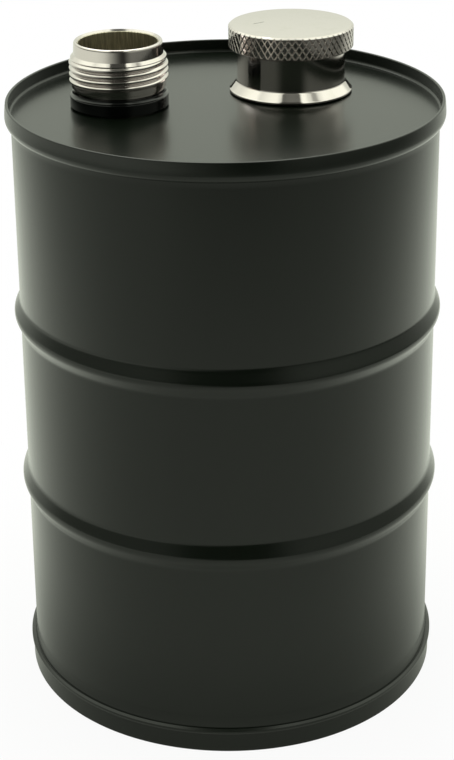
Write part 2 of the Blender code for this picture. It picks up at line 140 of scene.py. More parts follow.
def rings_of(radius, height, centre=(0.0, 0.0), angles=None):
    """Ring points: x = centre x + radius * cosine, y = centre y + radius * sine, z = height.

    Each of the four may differ from ring to ring (rows), and from place to place on a ring (columns).
    """
    angles = (angles_of(ROUND_COLUMNS) if angles is None else angles)[None, :]
    radius, height, middle_x, middle_y = (
        np.asarray(part, float)[:, None] if np.ndim(part) == 1 else np.asarray(part, float)
        for part in (radius, height, *centre)
    )
    x = middle_x + radius * np.cos(angles)
    y = middle_y + radius * np.sin(angles)
    return np.stack(np.broadcast_arrays(x, y, height + 0.0 * angles), axis=2)


def sheet_of(rings, climb=0):
    """Four-sided faces over a grid of rings that goes once round.

    After its last column a row meets its own start or, where the rows wind up a thread, the start of the
    row that lies climb rows further on.
    """
    rows, columns = rings.shape[:2]
    row = np.arange(rows - 1)[:, None]
    column = np.arange(columns)[None, :]
    after = (column + 1) % columns
    wound = np.where(after == 0, climb, 0)
    upper = np.clip(row + wound, 0, rows - 1)
    lower = np.clip(row + 1 + wound, 0, rows - 1)
    corners = ((row, column), (row + 1, column), (lower, after), (upper, after))
    faces = np.stack([level * columns + place for level, place in corners], axis=2)
    return rings.reshape(-1, 3), faces.reshape(-1, 4)


def creased(faces, across):
    """Two triangles for each face, cut from its first corner to its third, or the other way where asked."""
    faces = np.where(across.reshape(-1, 1), np.roll(faces, -1, axis=1), faces)
    return np.vstack((faces[:, (0, 1, 2)], faces[:, (0, 2, 3)]))


def skin(name, *sheets):
    """One closed mesh from sheets whose edges meet; points that coincide are welded."""
    all_points, all_faces = zip(*sheets)
    firsts = np.cumsum([0] + [len(points) for points in all_points])
    points = np.vstack(all_points)
    faces = np.vstack([faces + first for faces, first in zip(all_faces, firsts)])
    mesh = bpy.data.meshes.new(name)
    mesh.from_pydata(points.tolist(), [], faces.tolist())
    work = bmesh.new()
    work.from_mesh(mesh)
    bmesh.ops.remove_doubles(work, verts=work.verts, dist=WELD_DISTANCE)
    work.to_mesh(mesh)
    work.free()
    mesh.shade_smooth()
    mesh.set_sharp_from_angle(angle=SHARP_ANGLE)
    piece = bpy.data.objects.new(name, mesh)
    bpy.context.scene.collection.objects.link(piece)
    return piece


def turned_skin(name, profile, centre=(0.0, 0.0), base=0.0):
    """A skin from one profile, with its heights measured from a base."""
    return skin(name, sheet_of(rings_of(profile[:, 0], base + profile[:, 1], centre)))


def settle(piece, node, body, finish):
    """Give a piece its finish and its body, let it stand for its CAD node, and say how fine it is."""
    piece.data.materials.append(finish)
    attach(piece, body)
    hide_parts(node)
    faces = len(piece.data.loops) - 2 * len(piece.data.polygons)
    print(piece.name, "stands for", node, "with", faces, "triangles")


print("rings are cut into", ROUND_COLUMNS, "places")

# %% [markdown]
# ## Writing a finish as sums
# A finish is a board of nodes. Drawing boards by hand is slow to read, so two small classes help. A
# Number wraps a socket: adding or multiplying it writes a Math node. A Board adds any other node from its
# type, its settings and what goes into its sockets.

# %% Numbers and boards
class Number:
    """A socket whose value changes over the surface, with the signs of ordinary arithmetic."""

    def __init__(self, board, socket):
        self.board = board
        self.socket = socket

    def math(self, operation, *terms):
        """One Math node on the given terms."""
        node = self.board.node("ShaderNodeMath", {"operation": operation}, dict(enumerate(terms)))
        return Number(self.board, node.outputs[0])

    def __add__(self, other):
        return self.math("ADD", self, other)

    def __sub__(self, other):
        return self.math("SUBTRACT", self, other)

    def __rsub__(self, other):
        return self.math("SUBTRACT", other, self)

    def __mul__(self, other):
        return self.math("MULTIPLY", self, other)

    def __truediv__(self, other):
        return self.math("DIVIDE", self, other)

    def __gt__(self, other):
        return self.math("GREATER_THAN", self, other)

    def larger(self, other):
        """The larger of this and the other."""
        return self.math("MAXIMUM", self, other)

    def size(self):
        """The value without its sign."""
        return self.math("ABSOLUTE", self)

    def towards(self, other, share):
        """This value at share 0, the other at share 1."""
        return self + (other - self) * share

    def root(self):
        """The square root."""
        return self.math("SQRT", self)

    def ramp(self, low, high):
        """0 below low, 1 above high, and a soft S between; low may be the larger of the two."""
        inputs = {"Value": self, "From Min": low, "From Max": high}
        node = self.board.node("ShaderNodeMapRange", {"interpolation_type": "SMOOTHSTEP"}, inputs)
        return Number(self.board, node.outputs["Result"])

    __radd__ = __add__
    __rmul__ = __mul__


class Board:
    """The nodes of one material, world or light."""

    def __init__(self, owner):
        owner.use_nodes = True
        self.owner = owner
        self.tree = owner.node_tree
        self.tree.nodes.clear()

    def node(self, kind, settings=None, inputs=None):
        """Add a node, make its settings, then fill or link its input sockets."""
        node = self.tree.nodes.new(kind)
        for name, value in (settings or {}).items():
            setattr(node, name, value)
        for name, value in (inputs or {}).items():
            source = value.socket if isinstance(value, Number) else value
            if isinstance(source, bpy.types.NodeSocket):
                self.tree.links.new(source, node.inputs[name])
            else:
                node.inputs[name].default_value = source
        return node

    def mixed(self, share, first, second):
        """A colour that goes from the first to the second as the share goes from 0 to 1."""
        settings = {"data_type": "RGBA"}
        return self.node("ShaderNodeMix", settings, {0: share, 6: first, 7: second}).outputs[2]

    def noise(self, place, scale, detail=2.0, roughness=0.5):
        """Cloudy noise, about 0.5 in the middle, with that many waves in a metre."""
        inputs = {"Vector": place, "Scale": scale, "Detail": detail, "Roughness": roughness}
        return Number(self, self.node("ShaderNodeTexNoise", None, inputs).outputs[0])

    def parts(self, vector):
        """The x, y and z of a vector as Numbers."""
        node = self.node("ShaderNodeSeparateXYZ", None, {0: vector})
        return [Number(self, output) for output in node.outputs]

    def surface(self, bumps, inputs):
        """A principled surface with bumps of a height in metres, led to the material's output."""
        bump = self.node("ShaderNodeBump", None, {"Strength": 1.0, "Distance": 1.0, "Height": bumps})
        inputs = {"Normal": bump.outputs["Normal"], **inputs}
        shader = self.node("ShaderNodeBsdfPrincipled", None, inputs)
        self.node("ShaderNodeOutputMaterial", None, {"Surface": shader.outputs[0]})
        return self.owner


def board_for(name):
    """A new material and its empty board."""
    return Board(bpy.data.materials.new(name))


print("boards are ready")

# %% [markdown]
# ## Satin black paint
# The drum is sprayed and baked. Up close such paint isn't flat: it has a faint orange peel about a
# millimetre across and a finer grain, its gloss wanders a little, and a few specks of dust lie on the
# level deck. The colour itself is nearly black with a trace of green. All of it reads the piece's own
# coordinates, so nothing slides when the flask is turned. The ring under the neck is the same paint,
# left glossier and a little bluer. Waves are counted in a metre, and speck sizes in a dust cell.

# %% Paint
PAINT_COLOUR = (0.0030, 0.0055, 0.0030, 1.0)
PAINT_BLOOM_COLOUR = (0.0042, 0.0070, 0.0040, 1.0)
DEEP_COLOUR = (0.0018, 0.0024, 0.0026, 1.0)
DEEP_BLOOM_COLOUR = (0.0026, 0.0032, 0.0034, 1.0)
DUST_COLOUR = (0.16, 0.17, 0.14, 1.0)
SATIN_ROUGHNESS = 0.21
DEEP_ROUGHNESS = 0.08
ROUGHNESS_SWING = 0.04
PAINT_IOR = 1.5
CLOUD_WAVES = 38.0
BLOOM_SPAN = (0.35, 0.75)
PEEL_WAVES = 850.0
PEEL_HEIGHT = 1.0e-6
GRAIN_WAVES = 5200.0
GRAIN_HEIGHT = 0.4e-6
DUST_CELLS = 85.0
EMPTY_CELLS = 0.55
SPECK_SIZE = 0.014
SPECK_EDGE = (0.0, 0.006)
LEVEL_SPAN = (0.9, 0.99)


def black_paint(name, colour, bloom, roughness):
    """Dark colour, wandering roughness, two sizes of bump, and dust where the surface looks up."""
    board = board_for(name)
    coordinates = board.node("ShaderNodeTexCoord")
    place = coordinates.outputs["Object"]
    facing_up = board.parts(coordinates.outputs["Normal"])[2]
    cloud = board.noise(place, CLOUD_WAVES, 3.0)
    speck = board.node("ShaderNodeTexVoronoi", {"voronoi_dimensions": "2D", "feature": "F1"},
                       {"Vector": place, "Scale": DUST_CELLS})
    lottery = board.parts(speck.outputs["Color"])[0]
    speck_size = lottery * lottery * SPECK_SIZE
    dust = (speck_size - Number(board, speck.outputs["Distance"])).ramp(*SPECK_EDGE)
    dust = dust * facing_up.ramp(*LEVEL_SPAN) * (lottery > EMPTY_CELLS)
    coat = board.mixed(cloud.ramp(*BLOOM_SPAN), colour, bloom)
    peel = board.noise(place, PEEL_WAVES, 1.0) * PEEL_HEIGHT
    grain = board.noise(place, GRAIN_WAVES, 1.0) * GRAIN_HEIGHT
    return board.surface(peel + grain, {
        "Base Color": board.mixed(dust, coat, DUST_COLOUR),
        "Roughness": cloud * ROUGHNESS_SWING + roughness,
        "IOR": PAINT_IOR,
    })


paint = black_paint("satin_black_paint", PAINT_COLOUR, PAINT_BLOOM_COLOUR, SATIN_ROUGHNESS)
deep_paint = black_paint("deep_black_paint", DEEP_COLOUR, DEEP_BLOOM_COLOUR, DEEP_ROUGHNESS)
print("paint has", len(paint.node_tree.nodes), "nodes")

# %% [markdown]
# ## Polished steel
# Neck and cap are turned from stainless bar and polished outside. What tells such steel from chrome is
# the lathe: rings too fine to count, centred on the piece's own axis, and smears from handling where the
# gloss drops. Bores aren't polished, so they are browner and duller, with streaks along the axis. The
# recipe is centred on each piece's axis by a Mapping node. The cap's face has one small scuff.

# %% Steel
STEEL_COLOUR = (0.742, 0.68, 0.660, 1.0)
SMEAR_COLOUR = (0.64, 0.60, 0.54, 1.0)
BORE_COLOUR = (0.42, 0.38, 0.28, 1.0)
BORE_STREAK_COLOUR = (0.80, 0.75, 0.60, 1.0)
SCUFF_COLOUR = (0.10, 0.09, 0.07, 1.0)
STEEL_ROUGHNESS = 0.09
LATHE_WAVES = 5200.0
LATHE_HEIGHT = 0.06e-6
SMEAR_WAVES = 170.0
SMEAR_SPAN = (0.50, 0.75)
SMEAR_TINT = 0.35
SMEAR_ROUGHNESS = 0.07
BORE_ROUGHNESS = 0.42
BORE_MARGIN = (0.0002, 0.0001)
STREAK_WAVES = 16.0
STREAK_SPAN = (0.40, 0.70)
STREAK_GLOSS = 0.12
STREAK_SHORTNESS = 12.0
SCUFF_WAVES = 2600.0
SCUFF_TINT = 0.8
SCUFF_SIDES = (1.4, 0.7)
SCUFF_ENDS = (1.0, 0.6)


def polished_steel(name, axis, bore=0.0, scuff=None):
    """Steel with lathe rings by distance from the axis and height, dull smears, and a streaked bore.

    The bore is whatever lies within that radius. A scuff is a short dark stroke on the top, given by its
    place from the axis, its half length, its half width and its angle.
    """
    board = board_for(name)
    coordinates = board.node("ShaderNodeTexCoord")
    centred = {"Vector": coordinates.outputs["Object"], "Location": (-axis[0], -axis[1], 0.0)}
    place = board.node("ShaderNodeMapping", None, centred).outputs[0]
    x, y, z = board.parts(place)
    out = (x * x + y * y).root()
    lathe = board.node("ShaderNodeCombineXYZ", None, {0: out, 1: z, 2: 0.0}).outputs[0]
    rings = board.noise(lathe, LATHE_WAVES, 2.0, 0.7)
    smear = board.noise(place, SMEAR_WAVES, 4.0, 0.6).ramp(*SMEAR_SPAN)
    colour = board.mixed(smear * SMEAR_TINT, STEEL_COLOUR, SMEAR_COLOUR)
    roughness = smear * SMEAR_ROUGHNESS + STEEL_ROUGHNESS
    if bore:
        inside = out.ramp(bore + BORE_MARGIN[0], bore + BORE_MARGIN[1])
        wound = {0: x / out, 1: y / out, 2: z * STREAK_SHORTNESS}
        around = board.node("ShaderNodeCombineXYZ", None, wound).outputs[0]
        streak = board.noise(around, STREAK_WAVES, 4.0, 0.65).ramp(*STREAK_SPAN)
        bore_colour = board.mixed(streak, BORE_COLOUR, BORE_STREAK_COLOUR)
        colour = board.mixed(inside, colour, bore_colour)
        roughness = roughness.towards(BORE_ROUGHNESS - streak * STREAK_GLOSS, inside)
    if scuff:
        middle, half_length, half_width, angle = scuff
        along = (x - middle[0]) * math.cos(angle) + (y - middle[1]) * math.sin(angle)
        across = (y - middle[1]) * math.cos(angle) - (x - middle[0]) * math.sin(angle)
        ragged = board.noise(place, SCUFF_WAVES, 2.0) * half_width
        stroke = (across.size() + ragged).ramp(*(half_width * share for share in SCUFF_SIDES))
        stroke = stroke * along.size().ramp(*(half_length * share for share in SCUFF_ENDS))
        colour = board.mixed(stroke * SCUFF_TINT, colour, SCUFF_COLOUR)
    return board.surface(rings * LATHE_HEIGHT, {
        "Base Color": colour,
        "Metallic": 1.0,
        "Roughness": roughness,
    })


NECK_AXIS = (-0.0225, 0.0)
CAP_AXIS = (0.0119, 0.01555)
NECK_BORE_RADIUS = 0.0083
SKIRT_BORE = 0.0107
CAP_SCUFF = ((-0.0068, -0.0010), 0.0017, 0.00034, 0.75)
neck_steel = polished_steel("polished_steel_neck", NECK_AXIS, bore=NECK_BORE_RADIUS)
tube_steel = polished_steel("polished_steel_tube", CAP_AXIS, bore=SKIRT_BORE)
disc_steel = polished_steel("polished_steel_disc", CAP_AXIS, scuff=CAP_SCUFF)
print("steel has", len(neck_steel.node_tree.nodes), "nodes")

# %% [markdown]
# ## Silicone
# The seal inside the cap is milky silicone rubber: soft gloss, slightly cloudy, with the fine grain of
# its mould. It shows only when the cap is lifted and looked at from below.

# %% Silicone
SILICONE_COLOUR = (0.68, 0.68, 0.65, 1.0)
MILK_CLOUD_COLOUR = (0.60, 0.60, 0.56, 1.0)
MILK_CLOUD_WAVES = 240.0
MILK_CLOUD_SPAN = (0.3, 0.8)
SILICONE_ROUGHNESS = 0.42
SILICONE_SWING = 0.12
MOULD_GRAIN_WAVES = 4200.0
MOULD_GRAIN_HEIGHT = 1.5e-6
MILKINESS = 0.15
MILK_DEPTH = 0.001


def milky_silicone():
    """A pale colour with soft clouds, and a fine moulded grain."""
    board = board_for("milky_silicone")
    place = board.node("ShaderNodeTexCoord").outputs["Object"]
    cloud = board.noise(place, MILK_CLOUD_WAVES, 3.0)
    grain = board.noise(place, MOULD_GRAIN_WAVES, 1.0) * MOULD_GRAIN_HEIGHT
    return board.surface(grain, {
        "Base Color": board.mixed(cloud.ramp(*MILK_CLOUD_SPAN), SILICONE_COLOUR, MILK_CLOUD_COLOUR),
        "Roughness": cloud * SILICONE_SWING + SILICONE_ROUGHNESS,
        "Subsurface Weight": MILKINESS,
        "Subsurface Scale": MILK_DEPTH,
    })


silicone = milky_silicone()
print("silicone has", len(silicone.node_tree.nodes), "nodes")

# %% [markdown]
# ## The wall and its two hoops
# The wall is a tube of thin sheet. Each hoop is rolled out from inside: on both sides the metal leaves
# the wall in a bend, climbs one straight slope and bends over the crest. The slope above the crest mirrors
# the dark front of the room and the slope below it the pale table, so a hoop shows as a dark and a pale
# line. One profile, carried round, gives both faces of the sheet.

# %% Wall
BODY_RADIUS = 0.0446
BODY_SHEET = 0.0006
SEAM_GAP = 0.0003
WALL_TOP = 0.12685
WALL_FOOT = 0.00445
HOOP_CRESTS = (0.0847, 0.0459)
CREST_RADIUS = 0.0460
SKIN_RADIUS = 0.04475
HOOP_ABOVE = 0.0035
HOOP_BELOW = 0.0033
UPPER_BENDS = (0.30, 0.26)
LOWER_BENDS = (0.30, 0.30)
HOOP_MARGIN = 1.02
HOOP_RINGS = 61
HEIGHT_DIGITS = 7


def eased(way, first, last):
    """A climb from 0 to 1 with one straight slope, rounded over the first share and the last share.

    Rounded, the slope grows or falls evenly, so the climb is the square of the way over twice the share.
    """
    whole = 1 - first / 2 - last / 2
    start = way ** 2 / (2 * first)
    end = whole - (1 - way) ** 2 / (2 * last)
    return np.where(way < first, start, np.where(way > 1 - last, end, way - first / 2)) / whole


def hoop_rise(height, crest):
    """How far a hoop stands out, as a share of its rise: one eased climb from each side to the crest."""
    above = np.clip(1 - (height - crest) / HOOP_ABOVE, 0, 1)
    below = np.clip(1 - (crest - height) / HOOP_BELOW, 0, 1)
    return np.where(height > crest, eased(above, *UPPER_BENDS), eased(below, *LOWER_BENDS))


def wall_profile():
    """Heights close together over each hoop and sparse between; the radius follows the hoops."""
    heights = [np.array((WALL_TOP, WALL_FOOT))]
    for crest in HOOP_CRESTS:
        top, foot = crest + HOOP_MARGIN * HOOP_ABOVE, crest - HOOP_MARGIN * HOOP_BELOW
        heights.append(np.linspace(top, foot, HOOP_RINGS))
    heights = np.unique(np.round(np.concatenate(heights), HEIGHT_DIGITS))[::-1]
    rise = CREST_RADIUS - SKIN_RADIUS
    radius = SKIN_RADIUS + rise * sum(hoop_rise(heights, crest) for crest in HOOP_CRESTS)
    outer = np.stack((radius, heights), axis=1)
    inner = outer[::-1] - np.array((BODY_SHEET + SKIN_RADIUS - BODY_RADIUS, 0.0))
    return profile_of(outer, inner, outer[0])


drum_wall = turned_skin("drum_wall", wall_profile())
settle(drum_wall, "shell", "drum", paint)

# %% [markdown]
# ## The top head
# The lid of the drum is a pressed pan. Its floor, the deck, lies 3 mm below the rim, and the rim is the
# top chime: a thin upright lip whose outside swells a little and rolls under towards the wall, where the
# paint has filled the seam. The neck's hole isn't in the middle, so the deck's rings glide from circles
# round the neck to circles round the drum.

# %% Top head
DRUM_HEIGHT = 0.1308
DECK_HEIGHT = 0.1278
DECK_UNDERSIDE = 0.12715
CHIME_RADIUS = 0.0460
RIM_THICKNESS = 0.00065
RIM_TAPER = 0.00022
RIM_EDGE = 0.00022
DECK_FILLET = 0.0008
FILLET_MARGIN = 0.0001
FILLET_LEAN = 0.03
HEM_FOOT = 0.1265
CORNER_HEIGHT = 0.0015
SWELL_POWER = 1.6
SWELL_RINGS = 13
HEM_FILLET = (-0.0013, 0.00004)
SEAM_LAP = 0.00002
SEAM_RINGS = 9
DECK_RINGS = 14
UNDERSIDE_RINGS = 10
SLEEVE_RADIUS = BODY_RADIUS + SEAM_GAP
NECK_HOLE_RADIUS = 0.0093


def seam_fillet(height, reach, width):
    """A hollow run of paint against the wall: it widens with the square of the way to the seam."""
    way = np.linspace(0.0, 1.0, SEAM_RINGS)
    return np.stack((SKIN_RADIUS + SEAM_LAP + width * way ** 2, height + reach * (1 - way)), axis=1)


def deck_rings(height, edge_radius, count):
    """Level rings from the neck's hole to the deck's edge: centre and radius both go in equal steps."""
    share = np.linspace(0.0, 1.0, count)[:, None]
    start = np.array((NECK_AXIS[0], NECK_HOLE_RADIUS, height))
    end = np.array((0.0, edge_radius, height))
    return start + (end - start) * share


def top_head_rings():
    """Deck, rim, chime band and hem outside; then the sleeve and the deck's underside back to the hole."""
    inside = CHIME_RADIUS - RIM_THICKNESS
    top_inside = inside - RIM_TAPER
    top_outside = CHIME_RADIUS - RIM_TAPER
    corner_top = HEM_FOOT + CORNER_HEIGHT
    swell = np.linspace(DRUM_HEIGHT - RIM_EDGE, corner_top, SWELL_RINGS)
    rise = (swell - corner_top) / (DRUM_HEIGHT - RIM_EDGE - corner_top)
    band = np.stack((CHIME_RADIUS - RIM_TAPER * rise ** SWELL_POWER, swell), axis=1)
    fillet = seam_fillet(HEM_FOOT, *HEM_FILLET)[::-1]
    corner_reach = (CHIME_RADIUS - fillet[0, 0], CORNER_HEIGHT)
    rim = profile_of(
        arc((inside - DECK_FILLET, DECK_HEIGHT + DECK_FILLET), DECK_FILLET, -90, 0, 8),
        (inside - FILLET_LEAN * RIM_TAPER, DECK_HEIGHT + DECK_FILLET + FILLET_MARGIN),
        arc((top_inside + RIM_EDGE, DRUM_HEIGHT - RIM_EDGE), RIM_EDGE, 180, 90, 6),
        arc((top_outside - RIM_EDGE, DRUM_HEIGHT - RIM_EDGE), RIM_EDGE, 90, 0, 6)[:-1],
        band,
        arc((fillet[0, 0], corner_top), corner_reach, 0, -90, 18)[1:-1],
        fillet,
        (fillet[-1, 0], HEM_FOOT), (SLEEVE_RADIUS, HEM_FOOT), (SLEEVE_RADIUS, DECK_UNDERSIDE),
    )
    rim = np.insert(rim, 0, 0.0, axis=1)
    deck = deck_rings(DECK_HEIGHT, rim[0, 1], DECK_RINGS)[:-1]
    underside = deck_rings(DECK_UNDERSIDE, rim[-1, 1], UNDERSIDE_RINGS)[::-1][1:]
    rows = np.vstack((deck, rim, underside, deck[0]))
    return rings_of(rows[:, 1], rows[:, 2], centre=(rows[:, 0], 0.0))


top_pan = skin("top_pan", sheet_of(top_head_rings()))
settle(top_pan, "top_head", "drum", paint)

# %% [markdown]
# ## The base pan
# The foot is the same kind of pan turned over: a recessed floor, an upright foot wall, and at its top a
# lip whose sloping ledge runs in to the drum's wall. Paint has filled the seam there with a hollow fillet.
# The lip's bevelled foot and a shallow groove below it draw the fine lines that go round above the foot.

# %% Base pan
FOOT_RADIUS = 0.0456
FOOT_WALL = 0.00065
FOOT_EDGE = 0.00015
BASE_RECESS = 0.0035
FLOOR_TOP = 0.00415
BASE_FILLET = 0.0008
LEDGE_HEIGHT = 0.0055
LEDGE_FILLET = (0.0024, 0.00030)
LEDGE_RADIUS = 0.04542
LIP_RADIUS = 0.04595
LIP_ROUND = 0.00015
LIP_TOP = 0.00520
LIP_BEVEL = (0.00014, 0.00028)
LIP_FOOT = 0.00440
GROOVE_HEIGHT = 0.0043
GROOVE_DEPTH = 0.0001
GROOVE_FADE = 0.0003
RING_MARGIN = 1.3
FLOOR_RINGS = 6
OUTER_FLOOR_RING = 0.9


def base_profile():
    """Floor inside, sleeve up to the ledge, lip, groove and foot wall down, then the recess below.

    Above the ledge a hollow fillet runs up against the wall, where the paint has filled the seam.
    """
    inside = FOOT_RADIUS - FOOT_WALL
    recess = inside * np.linspace(OUTER_FLOOR_RING, 0.0, FLOOR_RINGS)
    fillet = seam_fillet(LEDGE_HEIGHT, *LEDGE_FILLET)
    shoulder = arc((LIP_RADIUS - LIP_ROUND, LIP_TOP - LIP_ROUND), LIP_ROUND, 60, 0, 4)
    return profile_of(
        np.stack((np.linspace(0.0, SLEEVE_RADIUS, FLOOR_RINGS), np.full(FLOOR_RINGS, FLOOR_TOP)), axis=1),
        (SLEEVE_RADIUS, LEDGE_HEIGHT), (fillet[0, 0], LEDGE_HEIGHT),
        fillet,
        run((LEDGE_RADIUS, LEDGE_HEIGHT), shoulder[0])[:-1],
        shoulder,
        run((LIP_RADIUS, LIP_FOOT + LIP_BEVEL[1]), (LIP_RADIUS - LIP_BEVEL[0], LIP_FOOT)),
        (FOOT_RADIUS - GROOVE_DEPTH, GROOVE_HEIGHT),
        (FOOT_RADIUS, GROOVE_HEIGHT - GROOVE_FADE),
        (FOOT_RADIUS, GROOVE_HEIGHT - RING_MARGIN * GROOVE_FADE),
        (FOOT_RADIUS, RING_MARGIN * FOOT_EDGE),
        arc((FOOT_RADIUS - FOOT_EDGE, FOOT_EDGE), FOOT_EDGE, 0, -90, 4),
        arc((inside + FOOT_EDGE, FOOT_EDGE), FOOT_EDGE, -90, -180, 4),
        arc((inside - BASE_FILLET, BASE_RECESS - BASE_FILLET), BASE_FILLET, 0, 90, 6),
        np.stack((recess, np.full(FLOOR_RINGS, BASE_RECESS)), axis=1),
    )


base_pan = turned_skin("base_pan", base_profile())
settle(base_pan, "bottom_head", "drum", paint)

# %% [markdown]
# ## The neck's collar
# A black ring stands on the deck and the neck rises from it. Its top is a hollow slope, like the fillet
# of a weld, that ends in a clear edge above an upright wall.

# %% Collar
COLLAR_WALL = 0.00108
COLLAR_TOP_WALL = 0.00032
COLLAR_HEIGHT = 0.0035
COLLAR_DROP = 0.00083
COLLAR_EDGE = 0.00012
SLOPE_END = 84
EDGE_START = 80


def collar_profile():
    """The slope is a quarter of an ellipse seen from outside, so it is hollow; heights are above the deck."""
    outer = NECK_HOLE_RADIUS + COLLAR_WALL
    top = NECK_HOLE_RADIUS + COLLAR_TOP_WALL
    slope = arc((outer, COLLAR_HEIGHT), (top - outer, -COLLAR_DROP), 0, SLOPE_END, 10)
    edge_centre = (outer - COLLAR_EDGE, COLLAR_HEIGHT - COLLAR_DROP - COLLAR_EDGE)
    edge = arc(edge_centre, COLLAR_EDGE, EDGE_START, 0, 4)
    return profile_of(
        (NECK_HOLE_RADIUS, COLLAR_HEIGHT), slope, edge,
        run(edge[-1], (outer, SEAM_GAP + COLLAR_EDGE))[1:],
        (outer - COLLAR_EDGE, SEAM_GAP), (NECK_HOLE_RADIUS, SEAM_GAP),
        (NECK_HOLE_RADIUS, COLLAR_HEIGHT),
    )


neck_ring = turned_skin("neck_ring", collar_profile(), NECK_AXIS, DECK_HEIGHT)
settle(neck_ring, "neck_collar", "drum", deep_paint)

# %% [markdown]
# ## Screw threads
# A thread is one ridge that climbs as it goes round. At an angle and a height, its nearest turn is found
# by rounding; how far the point lies from that turn's middle, measured along the axis, says how high
# the ridge stands there: full over the narrow crest, then down both flanks, with every corner rounded by
# polishing. Near its first and last turn the ridge fades, as a cut thread does. The rows of its sheet
# climb with it, so a crest is one unbroken line of faces; where a row would leave the threaded length it
# is held at the end, and the welding closes it there.

# %% Thread sheet
THREAD_PITCH = 0.0013
THREAD_TURNS = 4
CREST_SHARE = 0.10
BASE_SHARE = 0.50
THREAD_ROUNDING = (0.15, 0.20)
FADE_TURNS = 0.15


def thread_share(angles, heights, start_angle, start_height):
    """The ridge's height as a share of its depth; heights hold a row for each ring."""
    lead = np.mod(angles - start_angle, math.tau)[None, :] / math.tau
    climbed = (heights - start_height) / THREAD_PITCH
    turn = np.round(climbed - lead) + lead
    away = np.abs(climbed - turn)
    flank = np.clip((BASE_SHARE - away) / (BASE_SHARE - CREST_SHARE), 0, 1)
    begun = np.clip(turn / FADE_TURNS, 0, 1)
    unfinished = np.clip((THREAD_TURNS - turn) / FADE_TURNS, 0, 1)
    return eased(flank, *THREAD_ROUNDING) * begun * unfinished


def climbing_heights(angles, first, last, start_height, rows_per_pitch):
    """Heights of rows that climb one pitch a turn, held between the first and the last height."""
    down = np.sign(last - first)
    spare = 2 * THREAD_PITCH
    origin = start_height + THREAD_PITCH * np.round((first - down * spare - start_height) / THREAD_PITCH)
    rows = int(math.ceil((abs(last - first) + 2 * spare) / THREAD_PITCH)) * rows_per_pitch + 1
    level = origin + down * THREAD_PITCH * np.arange(rows)[:, None] / rows_per_pitch
    lead = (angles - angles[0])[None, :] / math.tau
    return np.clip(level + THREAD_PITCH * lead, min(first, last), max(first, last))


def threaded_sheets(first, thread, last, base, axis, angles):
    """A plain sheet, the thread's own (radius, heights, climb) and a plain one, above a base."""
    radius, heights, climb = thread
    ends = [sheet_of(rings_of(part[:, 0], base + part[:, 1], axis, angles)) for part in (first, last)]
    return ends[0], sheet_of(rings_of(radius, base + heights, axis, angles), climb), ends[1]


print("a thread of", THREAD_TURNS, "turns climbs", round(1000 * THREAD_TURNS * THREAD_PITCH, 2), "mm")

# %% [markdown]
# ## The neck
# From the top down the spout has a chamfered mouth, a plain pilot band that finds the cap's bore, a
# chamfered land, the thread, and a narrow groove where the tool ran out above the collar. Inside it is a
# plain bore that goes down through the deck. Three sheets meet: the rings above the thread, the thread,
# and the rings below it, which go on round the spigot and up the bore to the mouth again.

# %% Neck
THREAD_RADIUS = 0.0104
THREAD_DEPTH = 0.00048
ROOT_RADIUS = THREAD_RADIUS - THREAD_DEPTH
SPIGOT_RADIUS = 0.0090
SPIGOT_FOOT = -0.00165
GROOVE_RADIUS = 0.0095
SHOULDER_HEIGHT = 0.0038
ROOT_FOOT = 0.0044
ROOT_TOP = 0.0103
LAND_RADIUS = 0.01005
LAND_FOOT = 0.0106
LAND_TOP = 0.01075
PILOT_TOP_RADIUS = 0.00931
PILOT_RADIUS = 0.00945
PILOT_FOOT = 0.0114
NECK_HEIGHT = 0.0141
MOUTH_RADIUS = 0.00885
MOUTH_DEPTH = 0.0005
MOUTH_ROUND = (0.00044, 0.00058)
MOUTH_ROUND_END = 4
PILOT_BREAK = 0.00003
GROOVE_SLOPE = 0.0002
BORE_RING_HEIGHTS = (0.0, 0.007)
THREAD_START_HEIGHT = 0.0051
THREAD_START_ANGLE = math.radians(10)
NECK_COLUMNS = 240
NECK_ROWS_PER_PITCH = 36


